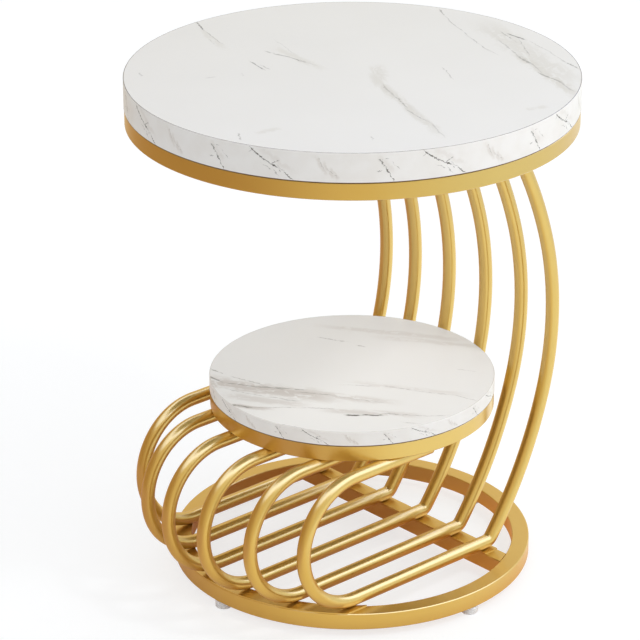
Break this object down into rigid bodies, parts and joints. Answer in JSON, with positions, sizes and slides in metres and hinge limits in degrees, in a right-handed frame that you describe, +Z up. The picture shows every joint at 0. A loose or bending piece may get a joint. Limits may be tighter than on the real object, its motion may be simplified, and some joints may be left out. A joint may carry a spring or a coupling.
{
  "type": "tiered side table",
  "caption": "Round tiered side table with a marble-look top and lower shelf on a gold tube frame that loops in front and bows behind, on a ring base with levelling feet.",
  "frame": {"origin": "on the floor, on the axis of the base ring, under the middle of the top", "axes": "+Z up out of the top, the tube loops face -Y, +X along the crossbars"},
  "size_m": [0.5199, 0.5257, 0.61],
  "materials": {
    "gold_metal": "satin gold",
    "gold_plug": "satin gold",
    "top_print": "satin, white marble print",
    "shelf_print": "satin, white marble print",
    "top_edge_print": "satin, white marble print",
    "shelf_edge_print": "satin, white marble print",
    "backing_sheet": "matt",
    "board_core": "fibreboard",
    "clear_plastic": "clear",
    "zinc_steel": "zinc plated"
  },
  "bodies": {
    "frame": {"base_crossbar": "gold_metal", "base_ring": "gold_metal", "foot_inserts": "zinc_steel", "front_strip": "gold_metal", "loop_1": "gold_metal", "loop_2": "gold_metal", "loop_3": "gold_metal", "loop_4": "gold_metal", "loop_5": "gold_metal", "loop_6": "gold_metal", "loop_end_plugs": "gold_plug", "rear_strip": "gold_metal", "shelf_board_backing": "backing_sheet", "shelf_board_core": "board_core", "shelf_board_face": "shelf_print", "shelf_crossbar": "gold_metal", "shelf_edge_band": "shelf_edge_print", "shelf_ring": "gold_metal", "shelf_screw_tabs": "gold_metal", "shelf_screws": "zinc_steel", "top_board_backing": "backing_sheet", "top_board_core": "board_core", "top_board_face": "top_print", "top_crossbar": "gold_metal", "top_edge_band": "top_edge_print", "top_ring": "gold_metal", "top_screw_tabs": "gold_metal", "top_screws": "zinc_steel", "upright_1": "gold_metal", "upright_2": "gold_metal", "upright_3": "gold_metal", "upright_4": "gold_metal", "upright_5": "gold_metal", "upright_6": "gold_metal"},
    "pad_1": {"foot_pad_1": "clear_plastic"},
    "pad_2": {"foot_pad_2": "clear_plastic"},
    "pad_3": {"foot_pad_3": "clear_plastic"},
    "pad_4": {"foot_pad_4": "clear_plastic"},
    "stud_1": {"foot_stud_1": "zinc_steel"},
    "stud_2": {"foot_stud_2": "zinc_steel"},
    "stud_3": {"foot_stud_3": "zinc_steel"},
    "stud_4": {"foot_stud_4": "zinc_steel"}
  },
  "joints": [
    {"name": "foot_1_turn", "type": "hinge", "parent": "pad_1", "child": "stud_1", "pos_m": [0.2025, 0, 0.003], "axis": [0, 0, -1], "range_deg": [0, 2160]},
    {"name": "foot_1_level", "type": "slide", "parent": "frame", "child": "pad_1", "axis": [0, 0, -1], "range_m": [0, 0.006]},
    {"name": "foot_2_turn", "type": "hinge", "parent": "pad_2", "child": "stud_2", "pos_m": [0, 0.2025, 0.003], "axis": [0, 0, -1], "range_deg": [0, 2160]},
    {"name": "foot_2_level", "type": "slide", "parent": "frame", "child": "pad_2", "axis": [0, 0, -1], "range_m": [0, 0.006]},
    {"name": "foot_3_turn", "type": "hinge", "parent": "pad_3", "child": "stud_3", "pos_m": [-0.2025, 0, 0.003], "axis": [0, 0, -1], "range_deg": [0, 2160]},
    {"name": "foot_3_level", "type": "slide", "parent": "frame", "child": "pad_3", "axis": [0, 0, -1], "range_m": [0, 0.006]},
    {"name": "foot_4_turn", "type": "hinge", "parent": "pad_4", "child": "stud_4", "pos_m": [0, -0.2025, 0.003], "axis": [0, 0, -1], "range_deg": [0, 2160]},
    {"name": "foot_4_level", "type": "slide", "parent": "frame", "child": "pad_4", "axis": [0, 0, -1], "range_m": [0, 0.006]}
  ],
  "couplings": [
    {"joint": "foot_1_turn", "follows": "foot_1_level", "rad_per_m": 6283.2},
    {"joint": "foot_2_turn", "follows": "foot_2_level", "rad_per_m": 6283.2},
    {"joint": "foot_3_turn", "follows": "foot_3_level", "rad_per_m": 6283.2},
    {"joint": "foot_4_turn", "follows": "foot_4_level", "rad_per_m": 6283.2}
  ]
}
